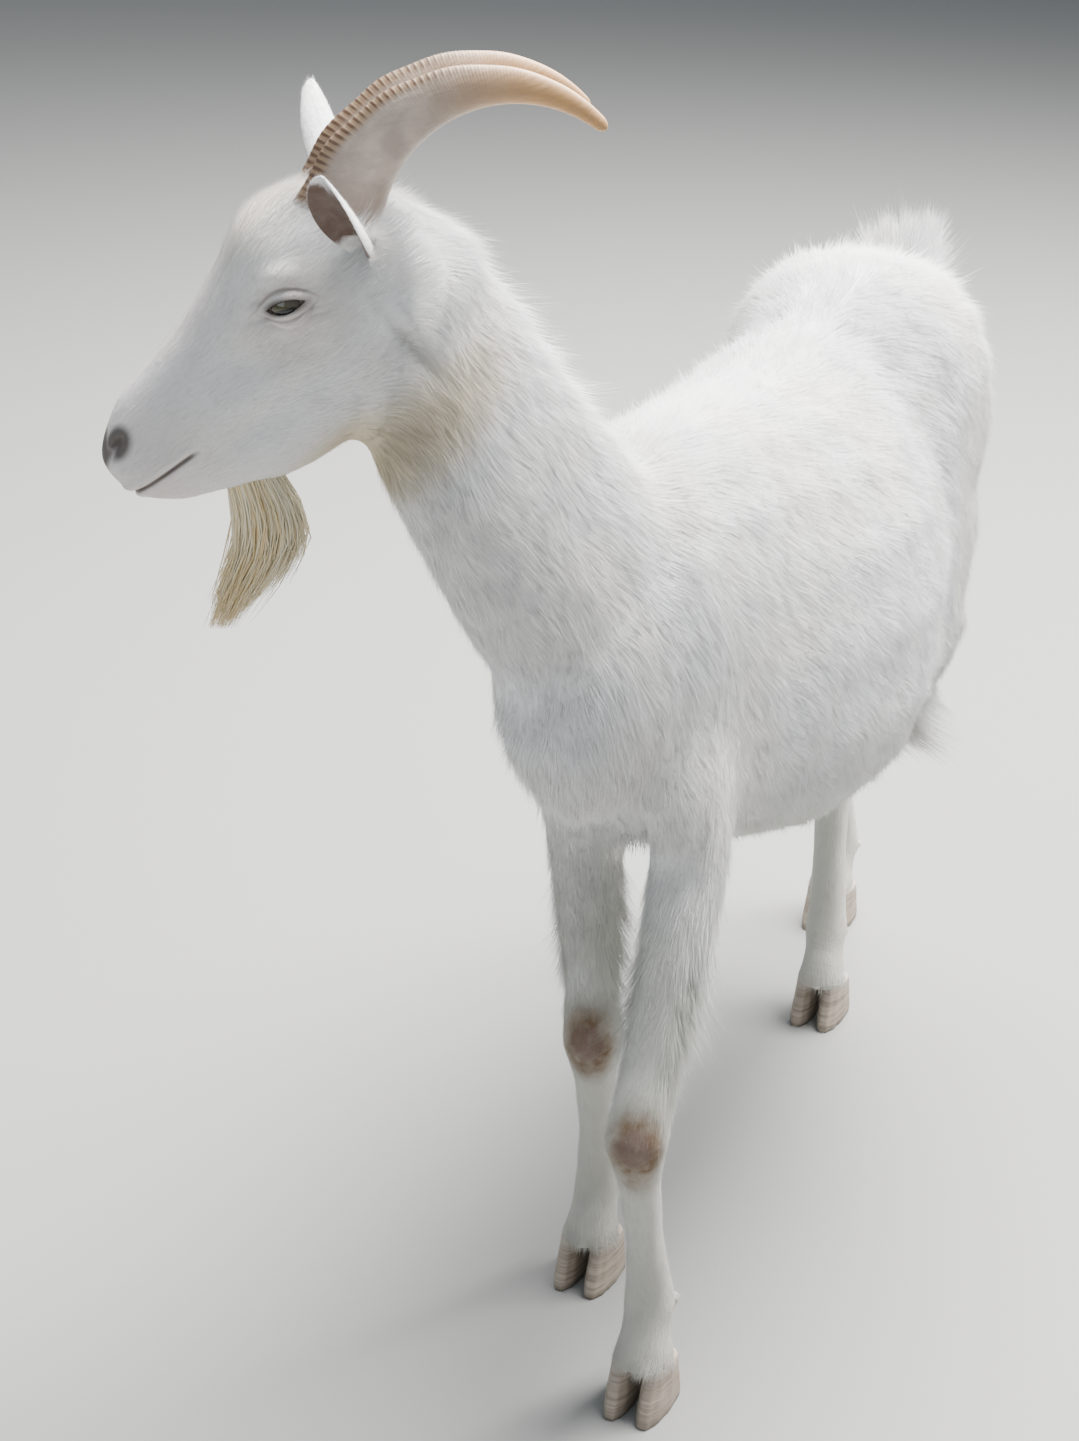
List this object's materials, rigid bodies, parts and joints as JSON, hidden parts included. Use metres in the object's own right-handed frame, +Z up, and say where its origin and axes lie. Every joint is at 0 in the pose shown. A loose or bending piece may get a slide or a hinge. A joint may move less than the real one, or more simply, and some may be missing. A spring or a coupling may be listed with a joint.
{
  "type": "domestic goat",
  "caption": "Life-size still figure of a white horned dairy goat with a beard, standing with its head turned to its right",
  "frame": {"origin": "middle of the ground that the feet stand on, under the centre of the bounding box", "axes": "+X towards the animal's front, +Y to its left, +Z up"},
  "size_m": [1.1072, 0.3914, 1.0217],
  "materials": {
    "coat": "short white hair lying flat, longer on the neck, rump and tail",
    "beard_hair": "long straight cream hair",
    "horn": "ridged grey-brown horn, smoother towards the tips",
    "hoof": "dull horny hoof wall",
    "eye": "wet glossy eye, amber iris with a level slot pupil"
  },
  "bodies": {
    "root": {"lower_jaw": "coat", "head": "coat", "neck": "coat", "fore_left_forearm": "coat", "fore_left_cannon": "coat", "fore_left_pastern": "coat", "fore_right_forearm": "coat", "fore_right_cannon": "coat", "fore_right_pastern": "coat", "hind_left_thigh": "coat", "hind_left_gaskin": "coat", "hind_left_cannon": "coat", "hind_left_pastern": "coat", "hind_right_thigh": "coat", "hind_right_gaskin": "coat", "hind_right_cannon": "coat", "hind_right_pastern": "coat", "trunk": "coat", "tail": "coat", "beard": "beard_hair", "ear_left": "coat", "horn_left": "horn", "eye_left": "eye", "ear_right": "coat", "horn_right": "horn", "eye_right": "eye", "fore_left_claw_outer": "hoof", "fore_left_claw_inner": "hoof", "fore_right_claw_outer": "hoof", "fore_right_claw_inner": "hoof", "hind_left_claw_outer": "hoof", "hind_left_claw_inner": "hoof", "hind_right_claw_outer": "hoof", "hind_right_claw_inner": "hoof"}
  },
  "joints": []
}
